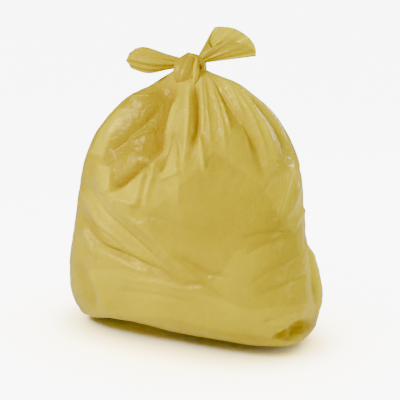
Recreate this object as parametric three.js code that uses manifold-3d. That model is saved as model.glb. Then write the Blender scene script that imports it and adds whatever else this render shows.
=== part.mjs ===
// A filled refuse sack of thin polythene film, standing on its base with its mouth tied in a knot that
// leaves two flared ears. The film is one welded tube, so the sack is one piece.
// Millimetres, +Z up. The origin is on the floor under the middle of the sack. +X is the sack's broad
// way, towards its right side, and -Y is its front.
import * as THREE from "three";
import { mergeVertices } from "three/addons/utils/BufferGeometryUtils.js";
import Module from "manifold-3d";

// Footprint: the flat patch that the sack stands on. A shift moves a girth sideways, towards +X.
const FOOT_WIDTH = 416;
const FOOT_DEPTH = 168;
const FOOT_SHIFT = 12;

// Heel: where the film leaves the floor and rounds up into the side.
const HEEL_HEIGHT = 25;
const HEEL_WIDTH = 458;
const HEEL_DEPTH = 210;
const HEEL_SHIFT = 9;

// Belly: the widest girth, low down, where the filling sags.
const BELLY_HEIGHT = 100;
const BELLY_WIDTH = 484;
const BELLY_DEPTH = 244;

// Waist: the upright middle of the sack.
const WAIST_HEIGHT = 222;
const WAIST_WIDTH = 444;
const WAIST_DEPTH = 236;
const WAIST_SHIFT = -6;

// Shoulder: where the sides turn in towards the neck.
const SHOULDER_HEIGHT = 348;
const SHOULDER_WIDTH = 396;
const SHOULDER_DEPTH = 216;

// Slope: half way up the cone of pleats between the shoulder and the neck.
const SLOPE_HEIGHT = 436;
const SLOPE_WIDTH = 256;
const SLOPE_DEPTH = 144;
const SLOPE_SHIFT = 6;

// Neck: the film gathered tight under the knot.
const NECK_HEIGHT = 494;
const NECK_WIDTH = 56;
const NECK_DEPTH = 44;

// Squareness of the girths: 2 is an ellipse, and more is a rounded rectangle.
const FOOT_SQUARENESS = 3.4;
const BELLY_SQUARENESS = 2.8;
const NECK_SQUARENESS = 2;

// Pleats that run down from the neck and fade out over the shoulder.
const PLEAT_COUNT = 13;
const PLEAT_DEPTH = 7;
const PLEAT_END_HEIGHT = 250;
const PLEAT_DRIFT = 0.7;

// Knot: one turn of gathered film round the neck, leaning to the left, with a core inside it.
const KNOT_RADIUS = 15;
const STRAND_RADIUS = 10;
const KNOT_LEAN_DEG = 28;
const KNOT_CORE_HEIGHT = 40;

// Ears: the two halves of the sack's mouth, each a flattened fan of film out of the knot. A fan is given
// by the length and the slope of its lower and its upper edge, by how far its open mouth bulges past the
// line between them, and by the way it points, seen from above.
const EAR_ROOT_RADIUS = 8;
const EAR_FOLDS = 7;
const EAR_FOLD_DEPTH = 2.2;
const EAR_POCKET_DEPTH = 22;
const EAR_WALL = 3;
const LEFT_EAR = {
  lowLength: 102, lowSlopeDeg: -8, highLength: 82, highSlopeDeg: 19, bulge: 22, puff: 26, turnDeg: 194,
};
const RIGHT_EAR = {
  lowLength: 110, lowSlopeDeg: 4, highLength: 72, highSlopeDeg: 56, bulge: 27, puff: 30, turnDeg: 14,
};

// Fineness of the mesh.
const RINGS = 30;
const GIRTH_STEPS = 78;
const EAR_RINGS = 8;
const POCKET_RINGS = 3;
const EAR_STEPS = 35;
const TORUS_STEPS = 24;
const STRAND_STEPS = 10;

const filmMaterial = new THREE.MeshStandardMaterial({
  color: 0xe3c548, roughness: 0.38, metalness: 0, side: THREE.FrontSide,
});

// A smooth curve of a girth's size against height, always through the same heights.
function girthCurve(sizes) {
  const heights = [
    0, HEEL_HEIGHT, BELLY_HEIGHT, WAIST_HEIGHT, SHOULDER_HEIGHT, SLOPE_HEIGHT, NECK_HEIGHT,
  ];
  return new THREE.SplineCurve(heights.map((z, i) => new THREE.Vector2(sizes[i], z)));
}

const girthWidth = girthCurve([
  FOOT_WIDTH, HEEL_WIDTH, BELLY_WIDTH, WAIST_WIDTH, SHOULDER_WIDTH, SLOPE_WIDTH, NECK_WIDTH,
]);
const girthDepth = girthCurve([
  FOOT_DEPTH, HEEL_DEPTH, BELLY_DEPTH, WAIST_DEPTH, SHOULDER_DEPTH, SLOPE_DEPTH, NECK_DEPTH,
]);
const girthShift = girthCurve([FOOT_SHIFT, HEEL_SHIFT, 0, WAIST_SHIFT, 0, SLOPE_SHIFT, 0]);

// How square the girth is at a height: squarest at the foot, round at the neck.
function squarenessAt(z) {
  if (z < BELLY_HEIGHT) {
    return THREE.MathUtils.lerp(FOOT_SQUARENESS, BELLY_SQUARENESS, z / BELLY_HEIGHT);
  }
  const up = (z - BELLY_HEIGHT) / (NECK_HEIGHT - BELLY_HEIGHT);
  return THREE.MathUtils.lerp(BELLY_SQUARENESS, NECK_SQUARENESS, up);
}

// A rounded rectangle's point at an angle.
function girthPoint(angle, a, b, squareness) {
  const c = Math.cos(angle);
  const s = Math.sin(angle);
  return new THREE.Vector2(
    a * Math.sign(c) * Math.abs(c) ** (2 / squareness),
    b * Math.sign(s) * Math.abs(s) ** (2 / squareness),
  );
}

// How far the film moves in or out at an angle, for the pleats at a height.
function pleatOffset(angle, z) {
  const up = THREE.MathUtils.smoothstep(z, PLEAT_END_HEIGHT, NECK_HEIGHT);
  const wave = Math.cos(PLEAT_COUNT * angle + PLEAT_DRIFT * Math.sin(2 * angle));
  return PLEAT_DEPTH * up * wave;
}

// The closed surface over a stack of rings, each a loop of points running anticlockwise seen from the
// end that the stack grows to.
function skinOver(rings) {
  const around = rings[0].length;
  const positions = rings.flat().flatMap((p) => [p.x, p.y, p.z]);
  const index = [];
  for (let r = 0; r + 1 < rings.length; r += 1) {
    for (let k = 0; k < around; k += 1) {
      const a = r * around + k;
      const b = r * around + ((k + 1) % around);
      index.push(a, b, b + around, a, b + around, a + around);
    }
  }
  const capWith = (ring, first, outward) => {
    const middle = ring.reduce((sum, p) => sum.add(p), new THREE.Vector3()).divideScalar(around);
    const hub = positions.length / 3;
    positions.push(middle.x, middle.y, middle.z);
    for (let k = 0; k < around; k += 1) {
      const a = first + k;
      const b = first + ((k + 1) % around);
      index.push(...(outward ? [a, b, hub] : [b, a, hub]));
    }
  };
  capWith(rings[0], 0, false);
  capWith(rings[rings.length - 1], (rings.length - 1) * around, true);
  const geometry = new THREE.BufferGeometry();
  geometry.setAttribute("position", new THREE.Float32BufferAttribute(positions, 3));
  geometry.setIndex(index);
  return geometry;
}

// The filled body, from the floor to the neck.
function bodySkin() {
  const rings = [];
  for (let r = 0; r <= RINGS; r += 1) {
    const width = girthWidth.getPoint(r / RINGS);
    const depth = girthDepth.getPoint(r / RINGS);
    const shift = girthShift.getPoint(r / RINGS);
    const z = width.y;
    const ring = [];
    for (let k = 0; k < GIRTH_STEPS; k += 1) {
      const angle = (k / GIRTH_STEPS) * 2 * Math.PI;
      const p = girthPoint(angle, width.x / 2, depth.x / 2, squarenessAt(z));
      const out = 1 + pleatOffset(angle, z) / p.length();
      ring.push(new THREE.Vector3(p.x * out + shift.x, p.y * out, z));
    }
    rings.push(ring);
  }
  return skinOver(rings);
}

// A point in an ear's own upright plane, at a length and a slope from the knot.
function fanPoint(length, slopeDeg) {
  const slope = THREE.MathUtils.degToRad(slopeDeg);
  return new THREE.Vector2(length * Math.cos(slope), length * Math.sin(slope));
}

// One ear: a flattened, folded fan out of the knot, with a shallow pocket in its open mouth.
function earSkin(ear) {
  const low = fanPoint(ear.lowLength, ear.lowSlopeDeg);
  const high = fanPoint(ear.highLength, ear.highSlopeDeg);
  const outward = fanPoint(ear.bulge, (ear.lowSlopeDeg + ear.highSlopeDeg) / 2);
  const ringAt = (along, wall) => {
    const middle = low.clone().add(high).multiplyScalar(along / 2);
    const half = high.clone().sub(low).multiplyScalar(along / 2);
    const reach = Math.hypot(half.length(), EAR_ROOT_RADIUS) - wall;
    half.setLength(reach);
    const thick = THREE.MathUtils.lerp(EAR_ROOT_RADIUS, ear.puff / 2, along) - wall;
    const ring = [];
    for (let k = 0; k < EAR_STEPS; k += 1) {
      const angle = (k / EAR_STEPS) * 2 * Math.PI;
      const across = Math.sin(angle);
      const fold = EAR_FOLD_DEPTH * along * Math.cos(EAR_FOLDS * angle);
      const bulge = along * along * (1 - across * across);
      ring.push(new THREE.Vector3(
        middle.x + half.x * across + outward.x * bulge,
        (thick + fold) * Math.cos(angle),
        middle.y + half.y * across + outward.y * bulge,
      ));
    }
    return ring;
  };
  const rings = [];
  for (let r = 0; r <= EAR_RINGS; r += 1) {
    rings.push(ringAt(r / EAR_RINGS, 0));
  }
  for (let r = 0; r <= POCKET_RINGS; r += 1) {
    const back = (r / POCKET_RINGS) * (EAR_POCKET_DEPTH / ear.lowLength);
    rings.push(ringAt(1 - back, EAR_WALL));
  }
  return skinOver(rings)
    .rotateZ(THREE.MathUtils.degToRad(ear.turnDeg))
    .translate(0, 0, NECK_HEIGHT + STRAND_RADIUS);
}

// The turn of film that ties the neck.
function knotTurn() {
  return new THREE.TorusGeometry(KNOT_RADIUS, STRAND_RADIUS, STRAND_STEPS, TORUS_STEPS)
    .rotateY(THREE.MathUtils.degToRad(KNOT_LEAN_DEG))
    .translate(0, 0, NECK_HEIGHT);
}

// The gathered film inside that turn, from the neck up to where the ears part.
function knotCore() {
  const core = new THREE.SphereGeometry(1, TORUS_STEPS, STRAND_STEPS);
  return core
    .rotateX(Math.PI / 2)
    .scale(KNOT_RADIUS + STRAND_RADIUS / 2, KNOT_RADIUS, KNOT_CORE_HEIGHT / 2)
    .translate(0, 0, NECK_HEIGHT);
}

const wasm = await Module();
wasm.setup();

// A closed geometry as a solid that can be joined to others.
function solidOf(geometry) {
  const bare = geometry.clone();
  bare.deleteAttribute("normal");
  bare.deleteAttribute("uv");
  const merged = mergeVertices(bare, 1e-3);
  return new wasm.Manifold(new wasm.Mesh({
    numProp: 3,
    vertProperties: new Float32Array(merged.attributes.position.array),
    triVerts: new Uint32Array(merged.index.array),
  }));
}

// The joined solid as a geometry again.
function geometryOf(solid) {
  const mesh = solid.getMesh();
  const geometry = new THREE.BufferGeometry();
  geometry.setAttribute("position", new THREE.BufferAttribute(mesh.vertProperties, 3));
  geometry.setIndex(new THREE.BufferAttribute(mesh.triVerts, 1));
  geometry.computeVertexNormals();
  return geometry;
}

const film = [knotTurn(), knotCore(), earSkin(LEFT_EAR), earSkin(RIGHT_EAR)]
  .map(solidOf)
  .reduce((joined, next) => joined.add(next), solidOf(bodySkin()));

const sack = new THREE.Mesh(geometryOf(film), filmMaterial);
sack.name = "tied_sack";

const group = new THREE.Group();
group.add(sack);

export default group;
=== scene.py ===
import math

import bpy
import numpy as np
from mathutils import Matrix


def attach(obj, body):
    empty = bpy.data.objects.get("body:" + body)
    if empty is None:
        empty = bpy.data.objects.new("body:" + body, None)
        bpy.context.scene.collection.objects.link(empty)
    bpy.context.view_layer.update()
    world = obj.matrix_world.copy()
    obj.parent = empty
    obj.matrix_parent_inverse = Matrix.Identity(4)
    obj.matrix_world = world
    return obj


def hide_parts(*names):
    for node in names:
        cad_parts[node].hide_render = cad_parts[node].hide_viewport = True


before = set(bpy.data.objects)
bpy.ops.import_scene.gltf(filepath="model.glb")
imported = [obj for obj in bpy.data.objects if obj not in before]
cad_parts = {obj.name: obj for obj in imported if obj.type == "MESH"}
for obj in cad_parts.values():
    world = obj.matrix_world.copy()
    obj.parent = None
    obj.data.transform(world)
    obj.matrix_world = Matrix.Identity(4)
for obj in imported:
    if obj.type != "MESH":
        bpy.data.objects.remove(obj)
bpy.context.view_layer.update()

bpy.ops.object.select_all(action="DESELECT")

# The camera, at the photograph's angle. A point in the photograph is given in its own 400 by 400 pixels,
# x to the right and y down.
PICTURE_PX = 400
VIEW_AZIMUTH_DEG = 24
VIEW_ELEVATION_DEG = 14
VIEW_DISTANCE = 1.85
LENS_MM = 90
SENSOR_MM = 36
AIM = np.array([0.0, 0.0, 0.26])
AIM_PX = np.array([191.0, 196.0])
FOCAL_PX = LENS_MM / SENSOR_MM * PICTURE_PX

azimuth = math.radians(VIEW_AZIMUTH_DEG)
elevation = math.radians(VIEW_ELEVATION_DEG)
VIEW_RIGHT = np.array([math.cos(azimuth), math.sin(azimuth), 0.0])
VIEW_BACK = np.array([
    math.sin(azimuth) * math.cos(elevation),
    -math.cos(azimuth) * math.cos(elevation),
    math.sin(elevation),
])
VIEW_UP = np.cross(VIEW_BACK, VIEW_RIGHT)
LEVEL_BACK = np.array([math.sin(azimuth), -math.cos(azimuth), 0.0])
EYE = AIM + VIEW_DISTANCE * VIEW_BACK


def to_pixels(points):
    """Where points land in the picture."""
    offset = points - EYE
    depth = -(offset @ VIEW_BACK)
    across = AIM_PX[0] + FOCAL_PX * (offset @ VIEW_RIGHT) / depth
    down = AIM_PX[1] - FOCAL_PX * (offset @ VIEW_UP) / depth
    return np.stack([across, down], axis=-1)


def from_pixels(pixels, anchor, facing):
    """The points of a plane through anchor, square to facing, that show at these pixels."""
    pixels = np.asarray(pixels, float)
    across = (pixels[..., 0] - AIM_PX[0]) / FOCAL_PX
    down = (pixels[..., 1] - AIM_PX[1]) / FOCAL_PX
    rays = across[..., None] * VIEW_RIGHT - down[..., None] * VIEW_UP - VIEW_BACK
    reach = ((anchor - EYE) @ facing) / (rays @ facing)
    return EYE + rays * reach[..., None]


def place_camera():
    """The camera, shifted so that AIM shows at AIM_PX."""
    data = bpy.data.cameras.new("camera")
    data.lens = LENS_MM
    data.sensor_width = SENSOR_MM
    data.shift_x = (PICTURE_PX / 2 - AIM_PX[0]) / PICTURE_PX
    data.shift_y = -(PICTURE_PX / 2 - AIM_PX[1]) / PICTURE_PX
    camera = bpy.data.objects.new("camera", data)
    camera.location = EYE
    camera.rotation_euler = (math.pi / 2 - elevation, 0, azimuth)
    bpy.context.scene.collection.objects.link(camera)
    bpy.context.scene.camera = camera


# The sack's girths, from the floor to the neck, in metres. GIRTH_STEPS and LOOP_STEPS are how finely its
# side and each girth are traced before their points are spaced evenly.
GIRTH_HEIGHTS = [0.0, 0.025, 0.100, 0.222, 0.348, 0.436, 0.494]
GIRTH_WIDTHS = [0.416, 0.458, 0.484, 0.444, 0.396, 0.256, 0.056]
GIRTH_DEPTHS = [0.168, 0.210, 0.244, 0.236, 0.216, 0.144, 0.044]
GIRTH_SHIFTS = [0.012, 0.009, 0.0, -0.006, 0.0, 0.006, 0.0]
BELLY_HEIGHT = GIRTH_HEIGHTS[2]
NECK_HEIGHT = GIRTH_HEIGHTS[-1]
FOOT_SQUARENESS = 3.4
BELLY_SQUARENESS = 2.8
NECK_SQUARENESS = 2.0
GIRTH_STEPS = 800
LOOP_STEPS = 1440


def through(values, t):
    """A smooth curve through values, at t from 0 to 1."""
    values = np.asarray(values, float)
    place = np.clip(t, 0, 1) * (len(values) - 1)
    start = np.minimum(place.astype(int), len(values) - 2)
    part = (place - start).reshape((-1,) + (1,) * (values.ndim - 1))
    before = values[np.maximum(start - 1, 0)]
    first = values[start]
    second = values[start + 1]
    after = values[np.minimum(start + 2, len(values) - 1)]
    out = (second - before) / 2
    home = (after - first) / 2
    return (
        (2 * first - 2 * second + out + home) * part**3
        + (3 * second - 3 * first - 2 * out - home) * part**2
        + out * part
        + first
    )


def smooth_step(low, high, x):
    """0 below low, 1 above high, and a smooth rise between them."""
    t = np.clip((x - low) / (high - low), 0, 1)
    return t * t * (3 - 2 * t)


def even_loop(loop, count):
    """A closed loop of points, spaced evenly along itself."""
    closed = np.vstack([loop, loop[:1]])
    run = np.concatenate([[0], np.cumsum(np.linalg.norm(np.diff(closed, axis=0), axis=1))])
    wanted = np.arange(count) / count * run[-1]
    return np.stack([np.interp(wanted, run, closed[:, i]) for i in range(closed.shape[1])], axis=1)


def body_grid(columns, side_rows, base_rows):
    """The smooth sack as rows of points, from the middle of its base up to the neck."""
    t = np.linspace(0, 1, GIRTH_STEPS)
    height = through(GIRTH_HEIGHTS, t)
    width = through(GIRTH_WIDTHS, t)
    depth = through(GIRTH_DEPTHS, t)
    shift = through(GIRTH_SHIFTS, t)
    run = np.concatenate([[0], np.cumsum(np.hypot(np.diff(height), np.diff(width + depth) / 4))])
    wanted = np.linspace(0, run[-1], side_rows)
    height, width, depth, shift = [
        np.interp(wanted, run, values) for values in (height, width, depth, shift)
    ]
    squareness = np.where(
        height < BELLY_HEIGHT,
        np.interp(height, [0, BELLY_HEIGHT], [FOOT_SQUARENESS, BELLY_SQUARENESS]),
        np.interp(height, [BELLY_HEIGHT, NECK_HEIGHT], [BELLY_SQUARENESS, NECK_SQUARENESS]),
    )
    angle = np.linspace(0, 2 * math.pi, LOOP_STEPS, endpoint=False)
    rows = []
    for z, w, d, x, n in zip(height, width, depth, shift, squareness):
        loop = np.stack([
            w / 2 * np.sign(np.cos(angle)) * np.abs(np.cos(angle)) ** (2 / n) + x,
            d / 2 * np.sign(np.sin(angle)) * np.abs(np.sin(angle)) ** (2 / n),
            np.full_like(angle, z),
        ], axis=1)
        rows.append(even_loop(loop, columns))
    foot = rows[0]
    middle = foot.mean(axis=0)
    base = [middle + (foot - middle) * (i / base_rows) for i in range(1, base_rows)]
    return np.array(base + rows)


def grid_normals(grid):
    """Outward normals of a grid of rows that each close on themselves."""
    along = np.gradient(grid, axis=0)
    around = np.roll(grid, -1, axis=1) - np.roll(grid, 1, axis=1)
    normal = np.cross(around, along)
    return normal / np.maximum(np.linalg.norm(normal, axis=2, keepdims=True), 1e-12)


# The shape of a fold. Across its line: how high its crest stands for a height of 1, how much of its reach
# its flank falls over, and how far the crest is rounded off. Along it: the shares of its length that it
# fades in and out over.
CREST_TOP = 1.15
CREST_FALL = 0.75
CREST_ROUND = 0.14
FOLD_FADE = (0.25, 0.25)


def fold(places, line, left, right, height, ends=FOLD_FADE):
    """The height of one creased fold over flat places. It runs along line, and left and right are how
    far its two sides reach. Left is the picture's left for a line that goes down the picture."""
    line = np.asarray(line, float)
    line = through(line, np.linspace(0, 1, 4 * len(line)))
    run = np.concatenate([[0], np.cumsum(np.linalg.norm(np.diff(line, axis=0), axis=1))])
    nearest = np.full(len(places), np.inf)
    side = np.zeros(len(places))
    at = np.zeros(len(places))
    for i in range(len(line) - 1):
        step = line[i + 1] - line[i]
        offset = places - line[i]
        part = np.clip(offset @ step / (step @ step), 0, 1)
        gap = np.linalg.norm(offset - part[:, None] * step, axis=1)
        better = gap < nearest
        nearest[better] = gap[better]
        side[better] = (step[0] * offset[:, 1] - step[1] * offset[:, 0])[better]
        at[better] = ((run[i] + part * np.linalg.norm(step)) / run[-1])[better]
    reach = np.where(side > 0, left, right)
    crest = CREST_TOP * np.exp(-np.hypot(nearest / (CREST_FALL * reach), CREST_ROUND))
    start, end = ends
    fade = smooth_step(0, start, at) * (1 - smooth_step(1 - end, 1, at))
    return height * crest * fade


# How soft the edge of a facet is, in pixels to each side.
FACET_EDGE_PX = 1.6


def facet(places, outline):
    """1 inside an outline, 0 outside it."""
    outline = np.asarray(outline, float)
    inside = np.zeros(len(places), bool)
    nearest = np.full(len(places), np.inf)
    for start, end in zip(outline, np.roll(outline, -1, axis=0)):
        step = end - start
        offset = places - start
        part = np.clip(offset @ step / (step @ step), 0, 1)
        nearest = np.minimum(nearest, np.linalg.norm(offset - part[:, None] * step, axis=1))
        level = (start[1] > places[:, 1]) != (end[1] > places[:, 1])
        crossing = start[0] + offset[:, 1] * step[0] / (step[1] or 1e-9)
        inside ^= level & (places[:, 0] < crossing)
    return smooth_step(-FACET_EDGE_PX, FACET_EDGE_PX, np.where(inside, nearest, -nearest))


# The folds that the front shows: the line in the photograph's pixels, how far the fold's left and right
# sides reach in pixels, and its height in millimetres, less than nothing for a valley.
FRONT_FOLDS = [
    ([(180, 78), (168, 92), (160, 112), (157, 134), (153, 166)], 20, 9, -25),
    ([(168, 80), (146, 92), (126, 108), (112, 132), (100, 158)], 12, 10, 9),
    ([(160, 92), (146, 112), (130, 132), (108, 156)], 5, 14, -6),
    ([(150, 160), (134, 176), (116, 193)], 6, 12, -11),
    ([(114, 193), (128, 198), (143, 204)], 7, 3, 8),
    ([(146, 164), (142, 184), (140, 206)], 10, 3, 9),
    ([(158, 146), (152, 176), (146, 204)], 3, 2.5, 5),
    ([(174, 130), (167, 154), (159, 177)], 4, 6, -8),
    ([(175, 134), (178, 152), (179, 171)], 7, 3, 7),
    ([(160, 177), (170, 174), (181, 169)], 5, 3, 7),
    ([(179, 172), (180, 190), (179, 206)], 8, 3, 3),
    ([(112, 166), (114, 180), (116, 193)], 9, 3, 7),
    ([(172, 114), (180, 112), (189, 109)], 2, 2, 2.5),
    ([(178, 94), (168, 112), (162, 140)], 4, 8, 6),
    ([(189, 82), (190, 112), (188, 136), (187, 152), (182, 172)], 8, 3, 9),
    ([(196, 78), (198, 117), (194, 152)], 4, 3, -9),
    ([(201, 71), (202, 93), (204, 117), (202, 134)], 4, 3, 6),
    ([(198, 128), (202, 144), (206, 172)], 5, 2.5, 7),
    ([(203, 71), (212, 84), (220, 98), (227, 116), (233, 138)], 3.5, 2.5, 5.5),
    ([(207, 75), (225, 98), (241, 121), (257, 146), (267, 184)], 9, 5, -7),
    ([(210, 74), (226, 88), (237, 104), (247, 122)], 3, 2.5, 4),
    ([(214, 73), (237, 92), (255, 115), (267, 134), (281, 174)], 6, 4, 7),
    ([(216, 74), (247, 100), (263, 116), (276, 134), (284, 160)], 3, 4, -3),
    ([(222, 77), (257, 104), (272, 118), (284, 138), (291, 160)], 5, 4, 5),
    ([(296, 156), (288, 179), (283, 196), (280, 218)], 5, 3, 5),
    ([(300, 178), (294, 200), (287, 218)], 4, 3, 4),
    ([(305, 205), (301, 214), (295, 223)], 4, 3, 3),
    ([(90, 150), (98, 166), (114, 198), (138, 219), (156, 236), (172, 253), (190, 278)], 9, 16, 10),
    ([(88, 176), (104, 206), (122, 224), (142, 242), (168, 266)], 3.5, 3, -5),
    ([(84, 188), (96, 216), (112, 232), (134, 250), (160, 270)], 3, 3, 4),
    ([(78, 196), (84, 220), (98, 240), (118, 250), (150, 264), (186, 280)], 8, 5, -8),
    ([(93, 244), (106, 251), (119, 258), (136, 267), (153, 272)], 2.5, 2.5, 5),
    ([(80, 218), (86, 238), (92, 250), (98, 268)], 3.5, 3, 5),
    ([(79, 258), (85, 275), (93, 292), (97, 314)], 5, 4, -4),
    ([(86, 262), (98, 284), (112, 312)], 4, 5, 4),
    ([(306, 222), (309, 247), (312, 268), (315, 292), (318, 318)], 4, 2.5, -8),
    ([(246, 288), (266, 272), (287, 261), (303, 249)], 3, 3, -2.5),
    ([(254, 296), (282, 284), (297, 277), (312, 270)], 3, 3, -2.5),
    ([(238, 258), (255, 248), (275, 240), (304, 232)], 3, 3, -3),
    ([(236, 240), (262, 232), (304, 228)], 3, 3, -3),
    ([(172, 250), (195, 265), (209, 273), (236, 277)], 4, 5, -5),
    ([(178, 284), (203, 284), (219, 294), (232, 302)], 3, 4, -4),
    ([(128, 212), (160, 216), (186, 226), (206, 232)], 4, 4, -1.5),
    ([(270, 340), (286, 333), (298, 326), (311, 319)], 5, 5, -10),
    ([(270, 326), (288, 318), (308, 310)], 4, 4, 5),
    ([(204, 74), (208, 110), (212, 150)], 2.5, 2, 3),
    ([(206, 74), (215, 96), (223, 124), (227, 154)], 2.5, 2, 3.5),
    ([(209, 74), (232, 104), (246, 132), (253, 164)], 2.5, 2, 3),
    ([(212, 73), (244, 106), (262, 140), (271, 176)], 2.5, 2, 3.5),
    ([(216, 78), (244, 100), (266, 126), (280, 156)], 2.5, 2, 2.5),
    ([(86, 182), (104, 200), (126, 222), (150, 244), (172, 264)], 2.5, 2, 3.5),
    ([(82, 206), (94, 222), (112, 236), (132, 248)], 2, 2, -3),
    ([(88, 226), (104, 240), (124, 250)], 2, 2, 3),
    ([(80, 240), (90, 252), (104, 262)], 2, 2, -3),
    ([(100, 186), (124, 208), (150, 222)], 2, 2, -3),
    ([(120, 276), (160, 282), (210, 292)], 2.5, 2.5, 2.5),
    ([(110, 288), (150, 292), (200, 302)], 2.5, 2.5, -2.5),
    ([(276, 334), (284, 326), (293, 332)], 2.5, 2.5, 4),
    ([(288, 341), (298, 328), (309, 323)], 2.5, 2.5, -4),
    ([(297, 336), (305, 330), (314, 322)], 2, 2, 4),
    ([(262, 322), (272, 318), (284, 320)], 2.5, 2.5, -3),
    ([(128, 100), (142, 97), (158, 90)], 2.5, 2.5, 4),
    ([(124, 140), (138, 130), (152, 124)], 2.5, 2.5, 3),
    ([(106, 166), (110, 160), (116, 160)], 2, 2, 3),
]

# The folds of the back: each line as how far across the back and how high, in millimetres, seen from
# behind, then how far the fold's two sides reach and its height, all in millimetres.
BACK_FOLDS = [
    ([(-6, 480), (-40, 420), (-70, 330), (-80, 260)], 26, 16, -13),
    ([(4, 480), (10, 400), (2, 300)], 12, 8, -9),
    ([(10, 478), (50, 410), (90, 330), (110, 280)], 20, 14, -11),
    ([(-14, 476), (-90, 420), (-140, 350), (-160, 280)], 16, 12, 8),
    ([(20, 474), (90, 430), (140, 370), (165, 310)], 14, 12, 8),
    ([(-30, 440), (-20, 370), (-30, 300)], 9, 7, 7),
    ([(30, 440), (40, 370), (60, 300)], 8, 8, 7),
    ([(-110, 330), (-90, 290), (-50, 262)], 14, 6, 7),
    ([(-200, 250), (-120, 190), (-30, 150), (60, 140)], 24, 12, 6),
    ([(200, 230), (130, 160), (40, 110)], 22, 12, -8),
    ([(-210, 140), (-140, 110), (-60, 70)], 12, 10, 5),
    ([(-190, 190), (-120, 140), (-40, 110)], 8, 8, -6),
    ([(215, 160), (170, 110), (120, 60)], 12, 10, 5),
    ([(150, 280), (90, 230), (30, 210)], 12, 8, -6),
    ([(-20, 90), (60, 60), (150, 50)], 14, 8, 5),
]

# How the filling pushes the film out beyond the smooth shape in front, in the terms of the front folds.
FRONT_BULGES = [
    ([(204, 64), (222, 73), (238, 86), (262, 106), (284, 128)], 20, 20, 2),
    ([(308, 236), (314, 256), (319, 280), (322, 318)], 12, 12, 9),
]

# Where the film lies double or turns from the light, its colour is painted deeper, as painted shade, above
# nothing; along ridges that catch the light it is painted paler, as painted highlights, below nothing. The
# lines and their reaches are in pixels.
FRONT_LAYERS_AND_SHADE = [
    ([(152, 112), (134, 130), (108, 158)], 6, 6, 0.5),
    ([(150, 158), (135, 170), (118, 188)], 6, 4, 0.5),
    ([(168, 84), (150, 90), (134, 98)], 5, 5, 0.4),
    ([(157, 100), (158, 120), (154, 150)], 8, 1, 0.4),
    ([(197, 80), (199, 120), (197, 150)], 4, 2, 0.6),
    ([(192, 84), (194, 120), (191, 150)], 2, 3, 0.5),
    ([(214, 84), (236, 116), (254, 150), (262, 186)], 5, 5, 0.5),
    ([(77, 258), (84, 284), (94, 308)], 4, 4, 0.15),
    ([(86, 200), (100, 234), (118, 251), (150, 266), (190, 282)], 5, 3, 0.5),
    ([(250, 292), (270, 276), (300, 256)], 5, 5, 0.25),
    ([(222, 77), (257, 104), (284, 138)], 5, 4, -0.5),
    ([(214, 73), (237, 92), (255, 115), (270, 140)], 3, 2, -0.5),
    ([(93, 244), (119, 258), (153, 272)], 3, 3, -0.9),
    ([(84, 186), (100, 200), (124, 226), (150, 250)], 3, 3, -0.6),
    ([(292, 160), (286, 200), (282, 218)], 4, 4, -0.6),
]
LAYER_AND_SHADE_FADE = (0.15, 0.15)

# Whole facets of the film with painted light and shade: the outline of each in pixels, and how deep its
# colour is, painted shade above nothing and a painted highlight below nothing.
FRONT_LIT_AND_SHADED_FACETS = [
    ([(167, 84), (140, 96), (129, 99), (118, 122), (104, 158), (114, 172), (116, 190), (142, 170),
      (153, 160), (157, 130), (163, 105)], 0.6),
    ([(117, 193), (128, 182), (142, 172), (141, 203)], -1.2),
    ([(162, 177), (168, 152), (173, 136), (176, 156), (178, 171)], -1.2),
    ([(101, 164), (113, 168), (115, 192)], -1.1),
    ([(89, 152), (102, 155), (116, 132), (133, 109), (122, 111), (104, 128)], -0.9),
    ([(166, 104), (171, 92), (180, 96), (174, 118), (165, 150), (156, 160), (158, 130)], -0.6),
    ([(186, 84), (190, 84), (190, 140), (188, 160), (183, 172), (180, 168), (186, 140)], -0.7),
    ([(143, 203), (151, 164), (155, 158), (147, 204)], -0.8),
    ([(198, 131), (203, 144), (206, 168), (202, 171), (199, 150)], -0.9),
    ([(199, 70), (203, 90), (205, 128), (201, 134), (200, 100)], -0.8),
    ([(163, 180), (180, 172), (179, 206), (172, 202)], -0.3),
    ([(78, 188), (92, 196), (120, 226), (150, 248), (172, 268), (158, 271), (120, 250), (90, 216)], -0.4),
    ([(309, 241), (316, 250), (323, 290), (324, 318), (318, 322), (316, 290), (310, 262)], -0.9),
    ([(92, 268), (130, 268), (200, 291), (250, 308), (318, 300), (312, 318), (270, 338), (230, 330),
      (170, 316), (100, 314)], -0.35),
    ([(296, 232), (305, 214), (300, 170), (291, 160), (284, 200), (288, 224)], -0.4),
    ([(272, 340), (284, 328), (300, 318), (314, 316), (316, 328), (300, 340), (286, 347)], 0.7),
    ([(186, 180), (215, 150), (262, 185), (284, 224), (268, 240), (236, 250), (214, 282), (200, 280),
      (160, 240), (148, 214)], 0.35),
]

# How far the bottom hem stands off the floor in front: pixels across the picture, and millimetres. In
# metres, it fades out over HEM_REACH up the side and over HEM_FRONT from the back to the front.
HEM_ACROSS = [60, 85, 110, 130, 150, 170, 190, 210, 230, 250, 270, 290, 310, 330]
HEM_LIFT = [0, 14, 26, 29, 27, 23, 22, 22, 21, 19, 19, 17, 15, 12]
HEM_REACH = 0.06
HEM_FRONT = (-0.10, 0.02)


def front_weight(points, normals):
    """1 where a point faces the camera, falling to 0 just past the outline."""
    to_eye = EYE - points
    to_eye /= np.linalg.norm(to_eye, axis=1, keepdims=True)
    return smooth_step(-0.2, 0.0, (normals * to_eye).sum(axis=1))


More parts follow.
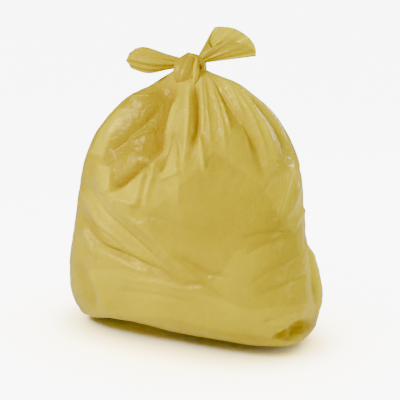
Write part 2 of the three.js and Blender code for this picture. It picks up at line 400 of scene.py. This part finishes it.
def grid_mesh(name, grid, close_ends):
    """An object with a mesh over a grid of rows that each close on themselves."""
    rows, columns = grid.shape[:2]
    points = [tuple(p) for p in grid.reshape(-1, 3)]
    faces = []
    for r in range(rows - 1):
        for c in range(columns):
            n = (c + 1) % columns
            faces.append((r * columns + c, r * columns + n, (r + 1) * columns + n, (r + 1) * columns + c))
    if close_ends:
        low = len(points)
        points.append(tuple(grid[0].mean(axis=0)))
        high = len(points)
        points.append(tuple(grid[-1].mean(axis=0)))
        for c in range(columns):
            n = (c + 1) % columns
            faces.append((n, c, low))
            faces.append(((rows - 1) * columns + c, (rows - 1) * columns + n, high))
    mesh = bpy.data.meshes.new(name)
    mesh.from_pydata(points, [], faces)
    mesh.polygons.foreach_set("use_smooth", [True] * len(mesh.polygons))
    mesh.update()
    piece = bpy.data.objects.new(name, mesh)
    bpy.context.scene.collection.objects.link(piece)
    return piece


def give_layers_and_shade(piece, values):
    """Store how deep the film's colour is at each of a piece's points: where film lies on film, and where
    shade and highlights are painted.
    """
    stored = piece.data.attributes.new("film_layers_and_painted_shade", "FLOAT", "POINT")
    values = np.concatenate([values, np.zeros(len(piece.data.vertices) - len(values))])
    stored.data.foreach_set("value", values)


def finer(grid):
    """The same surface with twice the rows and twice the columns."""
    rows, columns = grid.shape[:2]
    wrapped = np.concatenate([grid[:, -2:], grid, grid[:, :3]], axis=1)
    place = np.arange(2 * columns) / 2
    t = (place + 2) / (wrapped.shape[1] - 1)
    grid = through(wrapped.transpose(1, 0, 2), t).transpose(1, 0, 2)
    return through(grid, np.linspace(0, 1, 2 * rows - 1))


# How the film settles round the filling. The film is cut wider than the space that it is gathered into,
# so it buckles into small pleats. Lengths are in metres.
SETTLE_FRAMES = 22
SETTLE_CAP = 0.016
SETTLE_SHARE_FRONT = 0.38
SETTLE_SHARE_BACK = 0.65
FILLING_INSET = 0.010
FILLING_SKIN = 0.003
FILLING_GRIP = 5
HELD_NECK_ROWS = 3
EXCESS_WIDTH = 0.01
EXCESS_AT_NECK = 0.07
EXCESS_HEIGHTS = (0.26, 0.42)
FILM_CLOTH = {
    "quality": 5, "mass": 0.15, "tension_stiffness": 40, "compression_stiffness": 40,
    "shear_stiffness": 20, "bending_stiffness": 0.02, "air_damping": 2, "shrink_min": -0.03,
    "use_pressure": True, "uniform_pressure_force": 1.0,
}


def settled(grid, normals):
    """The film after it has settled, by cloth simulation, round the filling."""
    film = grid_mesh("settling_film", grid, True)
    filling = grid_mesh("settling_filling", grid - FILLING_INSET * normals, True)
    filling.modifiers.new("hard", "COLLISION")
    filling.collision.thickness_outer = FILLING_SKIN
    filling.collision.cloth_friction = FILLING_GRIP
    rows, columns = grid.shape[:2]
    held_rows = list(range(BASE_ROWS + 2)) + list(range(rows - HELD_NECK_ROWS, rows))
    held = film.vertex_groups.new(name="held")
    held.add([r * columns + c for r in held_rows for c in range(columns)], 1.0, "REPLACE")
    held.add([rows * columns, rows * columns + 1], 1.0, "REPLACE")
    middle = grid.mean(axis=1, keepdims=True)
    excess = EXCESS_WIDTH + EXCESS_AT_NECK * smooth_step(*EXCESS_HEIGHTS, grid[..., 2])
    cut = grid.copy()
    cut[..., :2] = middle[..., :2] + (grid[..., :2] - middle[..., :2]) * (1 + excess[..., None])
    ends = np.array([v.co for v in film.data.vertices][-2:])
    film.shape_key_add(name="Basis")
    cut_key = film.shape_key_add(name="cut")
    cut_key.data.foreach_set("co", np.vstack([cut.reshape(-1, 3), ends]).ravel())
    cut_key.value = 0
    cloth = film.modifiers.new("settle", "CLOTH")
    for name, value in FILM_CLOTH.items():
        setattr(cloth.settings, name, value)
    cloth.settings.vertex_group_mass = "held"
    cloth.settings.effector_weights.gravity = 0
    cloth.settings.rest_shape_key = cut_key
    cloth.collision_settings.use_collision = True
    cloth.collision_settings.distance_min = 0.002
    cloth.collision_settings.use_self_collision = False
    cloth.point_cache.frame_start = 1
    cloth.point_cache.frame_end = SETTLE_FRAMES
    for frame_number in range(1, SETTLE_FRAMES + 1):
        bpy.context.scene.frame_set(frame_number)
    shown = film.evaluated_get(bpy.context.evaluated_depsgraph_get())
    mesh = shown.to_mesh()
    points = np.zeros(3 * len(mesh.vertices))
    mesh.vertices.foreach_get("co", points)
    shown.to_mesh_clear()
    bpy.data.objects.remove(film)
    bpy.data.objects.remove(filling)
    bpy.context.scene.frame_set(1)
    move = points.reshape(-1, 3)[: rows * columns].reshape(grid.shape) - grid
    far = np.linalg.norm(move, axis=2, keepdims=True)
    move *= SETTLE_CAP * np.tanh(far / SETTLE_CAP) / np.maximum(far, 1e-9)
    front = front_weight(grid.reshape(-1, 3), normals.reshape(-1, 3)).reshape(rows, columns, 1)
    return grid + (SETTLE_SHARE_BACK + (SETTLE_SHARE_FRONT - SETTLE_SHARE_BACK) * front) * move


# Points round the sack, rows up its side and rows across its base, before they are made finer.
COLUMNS = 200
SIDE_ROWS = 96
BASE_ROWS = 6

# FOLD_DEPTH is how much deeper the front's folds are made than their heights say, and FOLD_SHADE_DEPTH is the
# depth of valley that is painted one layer of film darker, as painted shade; ridges are painted paler by the
# same measure, as painted highlights. All folds fade in over FOLD_FLOOR above the floor, and those of the
# back as the film's outward direction turns back by BACK_FACING.
FOLD_DEPTH = 1.35
FOLD_SHADE_DEPTH = 0.03
FOLD_FLOOR = 0.02
BACK_FACING = (0.1, 0.6)


def folds_out(points, normals, places):
    """How far the folds and the bulges move the smooth sack's points out."""
    front = np.zeros(len(points))
    for line, left, right, height in FRONT_FOLDS:
        front += fold(places, line, left, right, FOLD_DEPTH * height / 1000)
    for line, left, right, height in FRONT_BULGES:
        front += fold(places, line, left, right, height / 1000)
    from_behind = 1000 * points[:, [0, 2]] * [-1, -1]
    back = np.zeros(len(points))
    for line, left, right, height in BACK_FOLDS:
        downward = [(across, -high) for across, high in line]
        back += fold(from_behind, downward, left, right, height / 1000)
    out = front_weight(points, normals) * front + smooth_step(*BACK_FACING, normals[:, 1]) * back
    return out * smooth_step(0.0, FOLD_FLOOR, points[:, 2])


def hem_up(points, places):
    """How far the bottom hem stands off the floor in front."""
    lift = np.interp(places[:, 0], HEM_ACROSS, HEM_LIFT) / 1000
    lift *= 1 - smooth_step(0, HEM_REACH, points[:, 2])
    return lift * smooth_step(*HEM_FRONT, points @ LEVEL_BACK)


def sack_body():
    """The filled body of the sack, with its settled film, its folds and its hem."""
    smooth = body_grid(COLUMNS, SIDE_ROWS, BASE_ROWS)
    grid = finer(settled(smooth, grid_normals(smooth)))
    smooth = finer(smooth)
    normals = grid_normals(smooth).reshape(-1, 3)
    points = smooth.reshape(-1, 3)
    places = to_pixels(points)
    out = folds_out(points, normals, places)
    grid = grid + (normals * out[:, None]).reshape(grid.shape)
    grid[..., 2] += hem_up(points, places).reshape(grid.shape[:2])
    body = grid_mesh("sack_body", grid, True)
    # The colour's depth over the body: film lying double, painted shade and highlights along the front's
    # folds and facets, and painted shade in every valley and painted highlights on every ridge.
    layers_and_shade = np.zeros(len(points))
    for line, left, right, amount in FRONT_LAYERS_AND_SHADE:
        layers_and_shade += fold(places, line, left, right, amount, LAYER_AND_SHADE_FADE)
    for outline, amount in FRONT_LIT_AND_SHADED_FACETS:
        layers_and_shade += amount * facet(places, outline)
    give_layers_and_shade(body, front_weight(points, normals) ** 2 * layers_and_shade - out / FOLD_SHADE_DEPTH)
    return body


# The two ears, in a plane that stands through the knot.
KNOT = np.array([0.0, 0.0, 0.504])
EAR_TURN_DEG = 14
ear_turn = math.radians(EAR_TURN_DEG)
EAR_FACING = np.array([math.sin(ear_turn), -math.cos(ear_turn), 0.0])
EAR_COLUMNS = 96
EAR_ROWS = 48
EAR_FILM = 0.0008

# The right ear: its root and its mouth in the photograph's pixels, then, for each loop from the root to
# the mouth, its share of the way out and how far its front and its back lip stand apart.
RIGHT_ROOT = np.array([194.0, 64.0])
RIGHT_MOUTH = [
    (256, 56), (255, 51.5), (249, 46.8), (239, 42.3), (230, 40.4), (222, 42.8), (212, 48), (208, 42),
    (211, 33), (214.5, 27), (219, 26.5), (228, 27), (235, 28.5), (243, 33), (250, 38.5), (254, 44), (256, 50),
]
RIGHT_LOOPS = [
    (0.02, 0.004, 0.004), (0.16, 0.006, 0.006), (0.36, 0.006, 0.005), (0.68, 0.006, 0.003),
    (1.0, 0.004, 0.002),
]
RIGHT_PLEATS = {"seed": 4, "depth": 0.0012}
# How much deeper the colour of the ear's front and back lips is: the inside of the back lip is painted paler,
# a painted glow of light in the mouth.
RIGHT_LAYERS_AND_SHADE = {"front": 0.4, "back": -1.1}

# The left ear: its loops from the root to the mouth, each in pixels and with its two lips.
LEFT_LOOPS = [
    ([(189, 66), (189, 63), (189, 60), (189, 63)], 0.005, 0.005),
    ([(168, 69.5), (170, 62), (168, 54.5), (166, 62)], 0.008, 0.008),
    ([(148, 73), (150, 60), (145, 47), (144, 60)], 0.012, 0.010),
    ([(131, 68), (129, 62), (130, 55), (136, 48), (128, 54), (125, 61)], 0.009, 0.008),
]
LEFT_PLEATS = {"seed": 7, "depth": 0.0022}
# The left ear's back is a little deeper in colour.
LEFT_LAYERS_AND_SHADE = {"front": 0.0, "back": 0.3}


def ear_loop(outline, front, back, count):
    """A loop of film round an ear. outline goes from its lower edge over its front lip to its upper
    edge and over its back lip home again; front and back are how far the lips stand apart."""
    loop = even_loop(from_pixels(outline, KNOT, EAR_FACING), count)
    turn = np.arange(count) / count * 2 * math.pi
    swell = np.where(np.sin(turn) > 0, front * np.sin(turn), back * np.sin(turn))
    return loop + swell[:, None] * EAR_FACING


# The ears' pleats: the numbers of waves round an ear that they are made of, the share of the ear's length
# that they rise over, and from where on and by how much they ease off towards the mouth.
PLEAT_WAVES = (5, 8, 11, 15)
PLEAT_RISE = 0.3
PLEAT_EASE_FROM = 0.6
PLEAT_EASE = 0.35


def ear_pleats(rows, seed, depth):
    """Pleats that run along an ear out of the knot, deepest in its middle."""
    count = rows.shape[1]
    turn = np.arange(count) / count * 2 * math.pi
    chance = np.random.default_rng(seed)
    wave = sum(
        chance.uniform(0.5, 1) * np.cos(n * turn + chance.uniform(0, 6.3)) / n**0.3
        for n in PLEAT_WAVES
    )
    along = np.linspace(0, 1, len(rows))
    strength = depth * smooth_step(0, PLEAT_RISE, along)
    strength *= 1 - PLEAT_EASE * smooth_step(PLEAT_EASE_FROM, 1, along)
    return rows + (strength[:, None] * wave)[..., None] * EAR_FACING


def loft(loops, rows):
    """Rows of points through a few loops."""
    return through(np.array(loops), np.linspace(0, 1, rows))


def towards(root, outline, share):
    """An outline drawn in towards a root."""
    outline = np.asarray(outline, float)
    return [tuple(np.asarray(root) + (p - root) * share) for p in outline]


def ear(name, loops, pleats, layers_and_shade):
    """An ear of film over its loops, with its pleats and its film's thickness."""
    piece = grid_mesh(name, ear_pleats(loft(loops, EAR_ROWS), **pleats), False)
    at_front = np.tile(np.sin(np.arange(EAR_COLUMNS) / EAR_COLUMNS * 2 * math.pi) > 0, EAR_ROWS)
    give_layers_and_shade(piece, np.where(at_front, layers_and_shade["front"], layers_and_shade["back"]))
    shell = piece.modifiers.new("film_thickness", "SOLIDIFY")
    shell.thickness = EAR_FILM
    shell.offset = 0
    return piece


def right_ear():
    """The right ear, an open fan that points up."""
    loops = [
        ear_loop(towards(RIGHT_ROOT, RIGHT_MOUTH, share), front, back, EAR_COLUMNS)
        for share, front, back in RIGHT_LOOPS
    ]
    return ear("right_ear", loops, RIGHT_PLEATS, RIGHT_LAYERS_AND_SHADE)


def left_ear():
    """The left ear, a flatter one that narrows at its mouth."""
    loops = [ear_loop(outline, front, back, EAR_COLUMNS) for outline, front, back in LEFT_LOOPS]
    return ear("left_ear", loops, LEFT_PLEATS, LEFT_LAYERS_AND_SHADE)


# The knot: gathered straps of film over the front of the neck and round its back, and the lump that the
# ears come out of. Each strap runs through places in pixels, each forward of the knot's middle, towards
# the camera, by so many millimetres. Half widths and half depths are in millimetres too.
# The last number of each strap deepens its colour, as painted shade on the knot's front, or pales it, as
# painted highlights on its side strand, top and back.
KNOT_STRAPS = {
    "knot_front": {
        "places": [(191, 57), (189, 61), (186, 68), (183, 75), (181, 82)],
        "forward": (-2, 14, 22, 29, 26),
        "half_widths": (11, 16, 20, 18, 12),
        "half_depths": (8, 11, 12, 10, 6),
        "pleats": 7, "pleat_depth": 0.07, "layers_and_shade": 0.4,
    },
    "knot_side": {
        "places": [(197, 57), (196.5, 63), (196, 70), (195.5, 77), (194, 84)],
        "forward": (2, 22, 32, 40, 40),
        "half_widths": (4, 5, 5, 4.5, 3),
        "half_depths": (5, 7, 8, 7, 5),
        "pleats": 4, "pleat_depth": 0.10, "layers_and_shade": -0.5,
    },
    "knot_top": {
        "places": [(180, 64), (186, 60), (191, 58), (198, 60), (204, 64)],
        "forward": (0, 4, 9, 4, 0),
        "half_widths": (7, 7, 8, 7, 7),
        "half_depths": (8, 10, 11, 10, 8),
        "pleats": 6, "pleat_depth": 0.08, "layers_and_shade": -0.2,
    },
    "knot_back": {
        "places": [(204, 66), (196, 68), (188, 68), (180, 70)],
        "forward": (-4, -18, -18, -4),
        "half_widths": (9, 12, 12, 9),
        "half_depths": (7, 10, 10, 7),
        "pleats": 8, "pleat_depth": 0.07, "layers_and_shade": -0.2,
    },
}
STRAP_STEPS = 60
STRAP_COLUMNS = 56


def strap(name, places, forward, half_widths, half_depths, pleats, pleat_depth, layers_and_shade):
    """One gathered strap of the knot, with pleats that turn slowly along it."""
    knots = np.array([
        from_pixels(np.array(place, float), KNOT + near / 1000 * LEVEL_BACK, LEVEL_BACK)
        for place, near in zip(places, forward)
    ])
    t = np.linspace(0, 1, STRAP_STEPS)
    path = through(knots, t)
    half_width = through(half_widths, t) / 1000
    half_depth = through(half_depths, t) / 1000
    ahead = np.gradient(path, axis=0)
    ahead /= np.linalg.norm(ahead, axis=1, keepdims=True)
    side = np.cross(ahead, VIEW_BACK)
    side /= np.linalg.norm(side, axis=1, keepdims=True)
    front = np.cross(side, ahead)
    turn = -np.arange(STRAP_COLUMNS) / STRAP_COLUMNS * 2 * math.pi
    rows = []
    for i in range(STRAP_STEPS):
        broad = np.cos(pleats * turn + 1.5 * t[i])
        narrow = np.cos((2 * pleats - 1) * turn - 2 * t[i])
        swell = 1 + pleat_depth * (broad + 0.5 * narrow)
        rows.append(
            path[i]
            + (half_width[i] * swell * np.cos(turn))[:, None] * side[i]
            + (half_depth[i] * swell * np.sin(turn))[:, None] * front[i]
        )
    piece = grid_mesh(name, np.array(rows), True)
    give_layers_and_shade(piece, np.full(len(piece.data.vertices), layers_and_shade))
    return piece


# The film: its colour where it is thin, its deeper colour where it lies thick and where shade is painted, its
# shine and its creases.
THIN_COLOUR = (1.0, 0.78, 0.0, 1)
THICK_AND_SHADED_COLOUR = (0.56, 0.38, 0.0, 1)
SHINE_COLOUR = (1.0, 0.78, 0.2, 1)
ROUGHNESS_LOW = 0.26
ROUGHNESS_HIGH = 0.36
RIPPLE_SHARE = 0.25
CREASE_DEPTH = 0.010


def node_group(name, inputs, outputs):
    """An empty shader node group, with its named sockets."""
    group = bpy.data.node_groups.new(name, "ShaderNodeTree")
    for socket, kind, value in inputs:
        made = group.interface.new_socket(socket, in_out="INPUT", socket_type=kind)
        if value is not None:
            made.default_value = value
    for socket, kind in outputs:
        group.interface.new_socket(socket, in_out="OUTPUT", socket_type=kind)
    return group, group.nodes.new("NodeGroupInput"), group.nodes.new("NodeGroupOutput")


def add_node(tree, kind, links=(), **values):
    """A node with its properties and plain inputs set, and its inputs linked."""
    node = tree.nodes.new(kind)
    for name, value in values.items():
        if hasattr(node, name):
            setattr(node, name, value)
        else:
            node.inputs[name.replace("_", " ")].default_value = value
    for socket, source in links:
        tree.links.new(source, node.inputs[socket])
    return node


def film_creases():
    """The height of the fine creases in the film: thin crumple lines and a faint ripple."""
    group, given, out = node_group(
        "film_creases", [("Vector", "NodeSocketVector", None)], [("Height", "NodeSocketFloat")]
    )
    lines = add_node(
        group, "ShaderNodeTexNoise", [("Vector", given.outputs["Vector"])],
        noise_type="RIDGED_MULTIFRACTAL", Scale=8.0, Detail=4.0, Distortion=0.3,
    )
    ripple = add_node(
        group, "ShaderNodeTexNoise", [("Vector", given.outputs["Vector"])],
        Scale=60.0, Detail=3.0, Distortion=0.8,
    )
    total = add_node(
        group, "ShaderNodeMath", [(0, ripple.outputs["Fac"]), (2, lines.outputs["Fac"])],
        operation="MULTIPLY_ADD",
    )
    total.inputs[1].default_value = RIPPLE_SHARE
    group.links.new(total.outputs[0], out.inputs["Height"])
    return group


def film_tone():
    """The film's colour and roughness. The colour is deeper where film lies on film and where shade is
    painted, and paler where highlights are painted.
    """
    group, given, out = node_group(
        "film_tone",
        [
            ("Vector", "NodeSocketVector", None),
            ("Layers_and_shade", "NodeSocketFloat", 0.0),
            ("Thin", "NodeSocketColor", THIN_COLOUR),
            ("Thick_and_shaded", "NodeSocketColor", THICK_AND_SHADED_COLOUR),
        ],
        [("Color", "NodeSocketColor"), ("Roughness", "NodeSocketFloat")],
    )
    cloud = add_node(
        group, "ShaderNodeTexNoise", [("Vector", given.outputs["Vector"])], Scale=9.0, Detail=4.0
    )
    # Film lying double and painted shade deepen the colour; painted highlights pale it.
    depth = add_node(
        group, "ShaderNodeMapRange", [("Value", given.outputs["Layers_and_shade"])],
        From_Min=-1.0, From_Max=1.0, To_Min=-0.6, To_Max=0.6,
    )
    layers_and_shade = add_node(
        group, "ShaderNodeMath", [(0, cloud.outputs["Fac"]), (1, depth.outputs[0])], operation="ADD"
    )
    mix = add_node(group, "ShaderNodeMix", [("Factor", layers_and_shade.outputs[0])], data_type="RGBA")
    group.links.new(given.outputs["Thin"], mix.inputs[6])
    group.links.new(given.outputs["Thick_and_shaded"], mix.inputs[7])
    rough = add_node(
        group, "ShaderNodeMapRange", [("Value", cloud.outputs["Fac"])],
        From_Min=0.3, From_Max=0.7, To_Min=ROUGHNESS_LOW, To_Max=ROUGHNESS_HIGH,
    )
    group.links.new(mix.outputs[2], out.inputs["Color"])
    group.links.new(rough.outputs[0], out.inputs["Roughness"])
    return group


def yellow_film():
    """Glossy yellow polythene film with fine creases."""
    material = bpy.data.materials.new("yellow_film")
    material.use_nodes = True
    tree = material.node_tree
    shader = tree.nodes["Principled BSDF"]
    shader.inputs["Specular Tint"].default_value = SHINE_COLOUR
    shader.inputs["IOR"].default_value = 1.45
    shader.inputs["Subsurface Weight"].default_value = 0.1
    shader.inputs["Subsurface Radius"].default_value = (1.0, 0.7, 0.1)
    shader.inputs["Subsurface Scale"].default_value = 0.004
    place = add_node(tree, "ShaderNodeTexCoord")
    # The film's depth of colour with painted shade and highlights, stored on its points.
    stacked_and_shaded = add_node(tree, "ShaderNodeAttribute", attribute_name="film_layers_and_painted_shade")
    tone = add_node(tree, "ShaderNodeGroup", node_tree=film_tone())
    tree.links.new(place.outputs["Object"], tone.inputs["Vector"])
    tree.links.new(stacked_and_shaded.outputs["Fac"], tone.inputs["Layers_and_shade"])
    tree.links.new(tone.outputs["Color"], shader.inputs["Base Color"])
    tree.links.new(tone.outputs["Roughness"], shader.inputs["Roughness"])
    creases = add_node(tree, "ShaderNodeGroup", node_tree=film_creases())
    tree.links.new(place.outputs["Object"], creases.inputs["Vector"])
    bump = add_node(
        tree, "ShaderNodeBump", [("Height", creases.outputs["Height"])],
        Strength=1.0, Distance=CREASE_DEPTH,
    )
    tree.links.new(bump.outputs["Normal"], shader.inputs["Normal"])
    return material


# The floor: a wide sheet of white paper, lit from behind. Close to the sack a shadow is painted on it, yellow
# like light through the film and darker at its foot: each has how near the sack is, in metres, and the range
# of openness that it changes over.
FLOOR_HALF = 150
PAPER_COLOUR = (0.93, 0.93, 0.93, 1)
PAPER_GLOW = 8
SHADOW_TINT_COLOUR = (1.0, 0.76, 0.12, 1)
SHADOW_TINT_REACH = 0.22
SHADOW_TINT_RANGE = (0.45, 0.98)
SHADOW_REACH = 0.09
SHADOW_RANGE = (0.22, 0.9)


def white_paper():
    """White paper that glows for the camera, with a painted shadow, yellow and darker, where the sack stands
    close.
    """
    material = bpy.data.materials.new("white_paper")
    material.use_nodes = True
    tree = material.node_tree
    shader = tree.nodes["Principled BSDF"]
    shader.inputs["Base Color"].default_value = PAPER_COLOUR
    shader.inputs["Roughness"].default_value = 0.9
    sight = add_node(tree, "ShaderNodeLightPath")
    # Painted shadow: the glow turns yellow, and darker still, where the sack stands close.
    wide = add_node(tree, "ShaderNodeAmbientOcclusion", Distance=SHADOW_TINT_REACH)
    shadow_tint = add_node(tree, "ShaderNodeValToRGB", [("Fac", wide.outputs["AO"])])
    shadow_tint.color_ramp.elements[0].position = SHADOW_TINT_RANGE[0]
    shadow_tint.color_ramp.elements[0].color = SHADOW_TINT_COLOUR
    shadow_tint.color_ramp.elements[1].position = SHADOW_TINT_RANGE[1]
    shadow_tint.color_ramp.elements[1].color = (1, 1, 1, 1)
    near = add_node(tree, "ShaderNodeAmbientOcclusion", Distance=SHADOW_REACH)
    contact_shadow = add_node(
        tree, "ShaderNodeMapRange", [("Value", near.outputs["AO"])],
        From_Min=SHADOW_RANGE[0], From_Max=SHADOW_RANGE[1],
    )
    glow = add_node(
        tree, "ShaderNodeMath", [(0, sight.outputs["Is Camera Ray"]), (1, contact_shadow.outputs[0])],
        operation="MULTIPLY",
    )
    strength = add_node(tree, "ShaderNodeMath", [(0, glow.outputs[0])], operation="MULTIPLY")
    strength.inputs[1].default_value = PAPER_GLOW
    tree.links.new(shadow_tint.outputs["Color"], shader.inputs["Emission Color"])
    tree.links.new(strength.outputs[0], shader.inputs["Emission Strength"])
    return material


def lay_floor():
    """The pale floor, so wide that it reaches the backdrop."""
    corners = [(-FLOOR_HALF, -FLOOR_HALF, 0), (FLOOR_HALF, -FLOOR_HALF, 0)]
    corners += [(FLOOR_HALF, FLOOR_HALF, 0), (-FLOOR_HALF, FLOOR_HALF, 0)]
    mesh = bpy.data.meshes.new("floor")
    mesh.from_pydata(corners, [], [(0, 1, 2, 3)])
    floor = bpy.data.objects.new("floor", mesh)
    bpy.context.scene.collection.objects.link(floor)
    mesh.materials.append(white_paper())


# The lights: the name and place of each, to the picture's right, towards the camera and above the floor,
# how high it aims, and its size and power. The first grazes the front from the upper left.
LIGHTS = [
    ("key", (-1.3, 1.0, 1.7), 0.25, 0.6, 49),
    ("fill", (1.9, 1.3, 0.9), 0.25, 0.8, 17),
    ("rim", (1.5, -1.0, 1.2), 0.3, 0.8, 28),
    ("sheen", (-2.0, 0.9, 0.9), 0.25, 0.5, 12),
]
ROOM_LIGHT = 0.09
BACKDROP_LIGHT = 8.6


def area_light(name, place, aim_height, size, power):
    """A soft square light that points at the sack's middle, aim_height above the floor."""
    data = bpy.data.lights.new(name, "AREA")
    data.size = size
    data.energy = power
    light = bpy.data.objects.new(name, data)
    light.location = place
    away = np.array(place) - np.array([0, 0, aim_height])
    flat = math.hypot(away[0], away[1])
    light.rotation_euler = (math.atan2(flat, away[2]), 0, math.atan2(away[1], away[0]) + math.pi / 2)
    bpy.context.scene.collection.objects.link(light)
    return light


def light_studio():
    """The soft lights and an even white backdrop, which only the camera sees at full strength."""
    for name, (right, back, up), aim_height, size, power in LIGHTS:
        place = right * VIEW_RIGHT + back * LEVEL_BACK + np.array([0, 0, up])
        light = area_light(name, place, aim_height, size, power)
        light.visible_diffuse = name != "sheen"
    world = bpy.data.worlds.new("studio")
    world.use_nodes = True
    tree = world.node_tree
    room = tree.nodes["Background"]
    room.inputs["Color"].default_value = (1, 1, 1, 1)
    room.inputs["Strength"].default_value = ROOM_LIGHT
    backdrop = tree.nodes.new("ShaderNodeBackground")
    backdrop.inputs["Color"].default_value = (1, 1, 1, 1)
    backdrop.inputs["Strength"].default_value = BACKDROP_LIGHT
    sight = tree.nodes.new("ShaderNodeLightPath")
    mix = tree.nodes.new("ShaderNodeMixShader")
    tree.links.new(sight.outputs["Is Camera Ray"], mix.inputs[0])
    tree.links.new(room.outputs[0], mix.inputs[1])
    tree.links.new(backdrop.outputs[0], mix.inputs[2])
    tree.links.new(mix.outputs[0], tree.nodes["World Output"].inputs[0])
    bpy.context.scene.world = world


place_camera()
body = sack_body()
right = right_ear()
left = left_ear()
knot = [strap(name, **shape) for name, shape in KNOT_STRAPS.items()]
film = yellow_film()
for piece in [body, left, right, *knot]:
    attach(piece, "root")
    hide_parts("tied_sack")
    piece.data.materials.append(film)
lay_floor()
light_studio()
